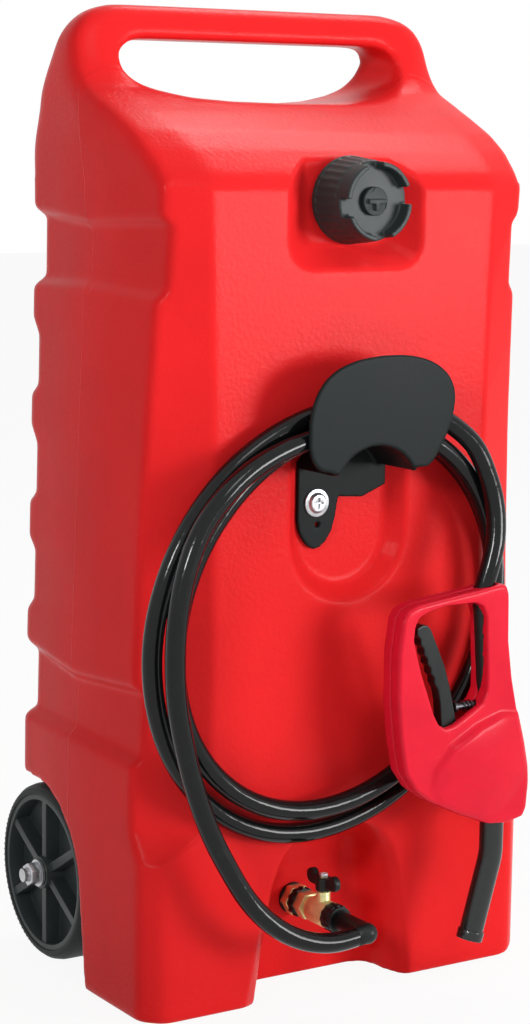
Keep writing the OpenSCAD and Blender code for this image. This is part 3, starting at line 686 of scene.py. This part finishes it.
class TANK_OT_cap(bpy.types.Operator):
    """Filler cap with its lugs, hub, threaded ring and gasket"""

    bl_idname = "tank.cap"
    bl_label = "Filler cap"

    def execute(self, context):
        s = context.scene.tank_settings
        shell = remeshed(node_copy("cap_shell"), 0.0009, 3)
        fresh("cap_skin", shell, Look.get("cap"), "cap", ["cap_shell"])
        hub = bevelled("cap_hub", s.edge)
        fresh("cap_hub_skin", hub, Look.get("hub"), "cap", ["cap_hub"])
        paint(Look.get("cap"), "cap_insert")
        paint(Look.get("seal"), "cap_gasket")
        return {"FINISHED"}


class TANK_OT_bracket(bpy.types.Operator):
    """Hose bracket with its screw"""

    bl_idname = "tank.bracket"
    bl_label = "Hose bracket"

    def execute(self, context):
        s = context.scene.tank_settings
        mesh = remeshed(node_copy("hose_bracket"), 0.0011, 3)
        fresh("bracket_skin", mesh, Look.get("bracket"), "base", ["hose_bracket"])
        screw = bevelled("bracket_screw", s.edge * 0.5)
        fresh("bracket_screw_skin", screw, Look.get("steel"), "base", ["bracket_screw"])
        paint(Look.get("brass"), "bracket_insert")
        return {"FINISHED"}


class TANK_OT_valve(bpy.types.Operator):
    """Drain fitting, ball valve, handle, collar and elbow"""

    bl_idname = "tank.valve"
    bl_label = "Drain valve"

    def execute(self, context):
        s = context.scene.tank_settings
        for node, look, slot, body in (
            ("outlet_fitting", "brass", "brass", "base"),
            ("valve_body", "brass", "brass", "base"),
            ("lock_ring", "fitting", "fitting_black", "base"),
            ("union_nut", "fitting", "fitting_black", "base"),
            ("handle_screw", "steel", "steel", "valve"),
        ):
            fresh(node + "_skin", bevelled(node, s.edge), Look.get(look), body, [node])
        handle = remeshed(node_copy("valve_handle"), 0.0007, 4)
        fresh("valve_handle_skin", handle, Look.get("fitting"), "valve", ["valve_handle"])
        elbow = smooth(node_copy("hose_elbow"), 40)
        fresh("hose_elbow_skin", elbow, Look.get("fitting"), "base", ["hose_elbow"])
        paint(Look.get("seal"), "outlet_seal")
        paint(Look.get("brass"), "valve_stem")
        paint(Look.get("chrome"), "valve_ball")
        paint(Look.get("seat"), "valve_seats")
        return {"FINISHED"}


class TANK_OT_nozzle(bpy.types.Operator):
    """Trigger nozzle: shells, trigger, spout and what they hold"""

    bl_idname = "tank.nozzle"
    bl_label = "Nozzle"

    def execute(self, context):
        s = context.scene.tank_settings
        middle = at(NOZZLE_BODY[0] + HANG_X, NOZZLE_Y, NOZZLE_BODY[1])
        for node in ("nozzle_front", "nozzle_rear"):
            mesh = remeshed(node_copy(node), s.small_voxel, s.small_rounds)
            mesh = crowned(mesh, middle, 0.055, 0.0135, 0.75)
            fresh(node + "_skin", mesh, Look.get("nozzle"), "base", [node])
        lever = remeshed(node_copy("trigger"), 0.0007, 3)
        fresh("trigger_skin", lever, Look.get("trigger"), "lever", ["trigger"])
        spout = smooth(node_copy("spout"), 40)
        fresh("spout_skin", spout, Look.get("spout"), "base", ["spout"])
        ring = bevelled("spout_ring", s.edge)
        fresh("spout_ring_skin", ring, Look.get("spout"), "base", ["spout_ring"])
        paint(Look.get("steel"), "nozzle_screws", "trigger_pin")
        # painted shade: the plunger and spring get near-black steel so they read as the shadow inside the nozzle
        paint(Look.get("painted_shade"), "plunger", "plunger_spring")
        paint(Look.get("fitting"), "feed_tube")
        return {"FINISHED"}


# hose route in millimetres from the tank's front face: two free stretches and the coil between them
HOSE_TOP = 515.1
TAIL = [(-27.35, -62, 64.9), (-46, -62, 63.4), (-64, -61.5, 65.2), (-82, -60, 70.5), (-100, -57.5, 79.8),
        (-118, -54.5, 94), (-135, -51, 114), (-151, -47.5, 141), (-167, -44, 173), (-181, -42, 210), (-192, -41, 250),
        (-200, -40, 292), (-202, -40, 334), (-199, -40, 372), (-190, -39, 408), (-175, -38, 440), (-153, -38, 466),
        (-126, -37, 486), (-95, -36, 500), (-62, -35, 509), (-30, -34.5, HOSE_TOP - 2)]
LEAD = [(30, -24.5, HOSE_TOP + 17.5), (60, -28, 528), (86, -34, 514), (107, -41, 494.5), (118, -48, 467),
        (122, -55, 439), (119.5, -60, 412), (113.5, -62, 391), (108, -62, 374.5), (104.6, -62, 361.5)]
COIL_Y = [(0, -34), (0.75, -19), (1, -13), (1.5, -10), (1.75, -10), (1.88, -15), (2, -23.5)]


def ease(t):
    k = min(1.0, max(0.0, t))
    return k * k * (3 - 2 * k)


def coil_point(degrees):
    u = degrees / 360
    high = 170 + 12 * ease(u - 0.5)
    wide = 163 + 20 * ease(u - 0.5)
    for (u0, y0), (u1, y1) in zip(COIL_Y, COIL_Y[1:]):
        if u <= u1:
            y = y0 + (y1 - y0) * (u - u0) / (u1 - u0)
            break
    a = math.radians(degrees)
    rise = HOSE_TOP + 19 * ease((u - 1.5) / 0.4)
    return (wide * math.sin(a) - 23 * (1 - math.cos(a)), y, rise - high * (1 - math.cos(a)))


def flowing(points, steps):
    """A smooth line through the points."""
    out = []
    for i in range(len(points) - 1):
        p0, p1, p2, p3 = (points[max(0, min(len(points) - 1, i + j))] for j in (-1, 0, 1, 2))
        for n in range(steps):
            t = n / steps
            out.append(0.5 * (2 * p1 + (p2 - p0) * t + (2 * p0 - 5 * p1 + 4 * p2 - p3) * t * t
                              + (3 * p1 - p0 - 3 * p2 + p3) * t * t * t))
    return out + [points[-1]]


class TANK_OT_hose(bpy.types.Operator):
    """Hose from the drain elbow, twice round the bracket, into the nozzle"""

    bl_idname = "tank.hose"
    bl_label = "Hose"

    def execute(self, context):
        s = context.scene.tank_settings
        route = TAIL + [coil_point(a) for a in range(0, 721, 15)] + LEAD
        line = flowing([at(x + HANG_X, y, z) for x, y, z in route], 5)
        curve = bpy.data.curves.new("hose", "CURVE")
        curve.dimensions = "3D"
        curve.bevel_depth = s.hose_d / 2
        curve.bevel_resolution = 6
        curve.use_fill_caps = True
        spline = curve.splines.new("POLY")
        spline.points.add(len(line) - 1)
        for point, co in zip(spline.points, line):
            point.co = (co.x, co.y, co.z, 1.0)
        spline.use_smooth = True
        hose = bpy.data.objects.new("hose", curve)
        context.scene.collection.objects.link(hose)
        curve.materials.append(Look.get("hose"))
        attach(hose, "base")
        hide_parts("hose_tail", "hose_coil", "hose_lead")
        length = sum((b - a).length for a, b in zip(line, line[1:]))
        held = ["nozzle_front_skin", "nozzle_rear_skin", "trigger_skin", "spout_skin", "spout_ring_skin"]
        held += ["nozzle_screws", "feed_tube", "trigger_pin", "plunger", "plunger_spring"]
        return {"FINISHED"}


class TANK_OT_wheels(bpy.types.Operator):
    """Wheels, tyres with ribbed sidewalls, axle, washers and nuts"""

    bl_idname = "tank.wheels"
    bl_label = "Wheels"

    def execute(self, context):
        s = context.scene.tank_settings
        for side, sign in (("left", -1), ("right", 1)):
            body = side + "_wheel"
            wheel = bevelled("wheel_" + side, s.edge)
            fresh("wheel_" + side + "_skin", wheel, Look.get("wheel"), body, ["wheel_" + side])
            tyre = bevelled("tyre_" + side, s.edge)
            fresh("tyre_" + side + "_skin", tyre, Look.get("tyre"), body, ["tyre_" + side])
            turn = Matrix.Translation(at(sign * TYRE_FACE_X, AXLE_Y, AXLE_Z)) @ Matrix.Rotation(math.radians(90), 4, "Y")
            ribs = ring_of_bars("sidewall_ribs", 90, 0.0775, (0.003, 0.0011, 0.0012), Look.get("tyre"))
            fresh("tyre_ribs_" + side, smooth(moved(ribs, turn), 40), Look.get("tyre"), body)
        nuts = bevelled("axle_nuts", s.edge)
        fresh("axle_nuts_skin", nuts, Look.get("steel"), "base", ["axle_nuts"])
        paint(Look.get("steel"), "axle", "axle_washers")
        return {"FINISHED"}


class TANK_PT_panel(bpy.types.Panel):
    """Sizes, colours and build buttons"""

    bl_label = "Fuel transfer tank"
    bl_idname = "TANK_PT_panel"
    bl_space_type = "VIEW_3D"
    bl_region_type = "UI"
    bl_category = "Tank"

    def draw(self, context):
        for name in TankSettings.__annotations__:
            self.layout.prop(context.scene.tank_settings, name)
        for cls in OPERATORS:
            self.layout.operator(cls.bl_idname)


OPERATORS = (TANK_OT_stage, TANK_OT_nozzle, TANK_OT_hose, TANK_OT_body, TANK_OT_cap, TANK_OT_bracket, TANK_OT_valve,
             TANK_OT_wheels)
CLASSES = (TankSettings,) + OPERATORS + (TANK_PT_panel,)


def register():
    for cls in CLASSES:
        bpy.utils.register_class(cls)
    bpy.types.Scene.tank_settings = bpy.props.PointerProperty(type=TankSettings)


def unregister():
    del bpy.types.Scene.tank_settings
    for cls in reversed(CLASSES):
        bpy.utils.unregister_class(cls)


def main():
    register()
    bpy.ops.tank.stage()
    bpy.ops.tank.nozzle()
    bpy.ops.tank.hose()
    bpy.ops.tank.body()
    bpy.ops.tank.cap()
    bpy.ops.tank.bracket()
    bpy.ops.tank.valve()
    bpy.ops.tank.wheels()


if __name__ == "__main__":
    main()
